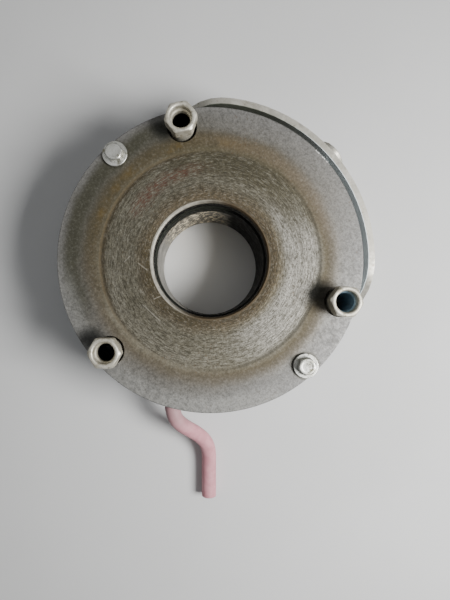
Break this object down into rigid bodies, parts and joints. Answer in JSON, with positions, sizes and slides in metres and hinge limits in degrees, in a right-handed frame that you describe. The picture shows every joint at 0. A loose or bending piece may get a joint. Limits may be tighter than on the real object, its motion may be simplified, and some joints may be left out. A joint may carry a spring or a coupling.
{
  "type": "electromagnetic brake",
  "caption": "Round spring-applied brake head with a worn armature plate, hollow sleeve bolts, hand-release yoke and a short sleeved lead.",
  "frame": {"origin": "On the surface that the magnet's rear collar rests on, below the middle of the brake's outline without its lead. The bore's axis is at Y = -6.75 mm.", "axes": "+Z along the bore, from the rear collar to the armature plate. The release bolts are in the plane through the bore's axis parallel to X, and +Y points to the lever boss."},
  "size_m": [0.2306, 0.2262, 0.0775],
  "materials": {
    "dark_cast_steel": "turned, dark and oily",
    "worn_steel": "turned steel, worn and stained with rust dust",
    "dirty_zinc": "dull plated, dirty",
    "bright_zinc": "bright plated",
    "pressed_steel": "pressed sheet, dull grey",
    "spring_steel": "drawn wire",
    "copper_wire": "enamelled copper winding",
    "black_nylon": "moulded",
    "amber_resin": "cast resin",
    "black_rubber": "moulded",
    "pink_silicone": "soft sleeve, satin"
  },
  "bodies": {
    "magnet": {"magnet_body": "dark_cast_steel", "coil_bobbin": "black_nylon", "coil_winding": "copper_wire", "coil_potting": "amber_resin", "sleeve_bolt_1": "dirty_zinc", "sleeve_bolt_2": "dirty_zinc", "sleeve_bolt_3": "dirty_zinc", "pressure_spring_1": "spring_steel", "pressure_spring_2": "spring_steel", "pressure_spring_3": "spring_steel", "pressure_spring_4": "spring_steel", "pressure_spring_5": "spring_steel", "pressure_spring_6": "spring_steel", "release_spring_1": "spring_steel", "release_spring_2": "spring_steel", "lead_grommet": "black_rubber", "lead_sleeve": "pink_silicone"},
    "armature": {"armature_plate": "worn_steel"},
    "release_bolts": {"release_bolt_1": "bright_zinc", "release_bolt_2": "bright_zinc", "front_washer_1": "bright_zinc", "front_washer_2": "bright_zinc", "rear_washer_1": "bright_zinc", "rear_washer_2": "bright_zinc", "release_nut_1": "bright_zinc", "release_nut_2": "bright_zinc"},
    "yoke": {"release_yoke": "pressed_steel", "lever_boss": "pressed_steel"}
  },
  "joints": [
    {"name": "yoke_tilt", "type": "hinge", "parent": "magnet", "child": "yoke", "pos_m": [0, -0.01575, 0.0137], "axis": [-1, 0, 0], "range_deg": [0, 2.67], "stiffness_Nm_per_rad": 5, "springref_deg": -5.73, "deforming": ["release_spring_1", "release_spring_2"]},
    {"name": "armature_slide", "type": "slide", "parent": "magnet", "child": "armature", "axis": [0, 0, -1], "range_m": [0, 0.0007], "deforming": ["pressure_spring_1", "pressure_spring_2", "pressure_spring_3", "pressure_spring_4", "pressure_spring_5", "pressure_spring_6"]},
    {"name": "release_bolt_slide", "type": "slide", "parent": "magnet", "child": "release_bolts", "axis": [0, 0, -1], "range_m": [0, 0.0007]}
  ],
  "couplings": [
    {"joint": "armature_slide", "follows": "yoke_tilt", "m_per_rad": 0.015},
    {"joint": "release_bolt_slide", "follows": "yoke_tilt", "m_per_rad": 0.015}
  ]
}
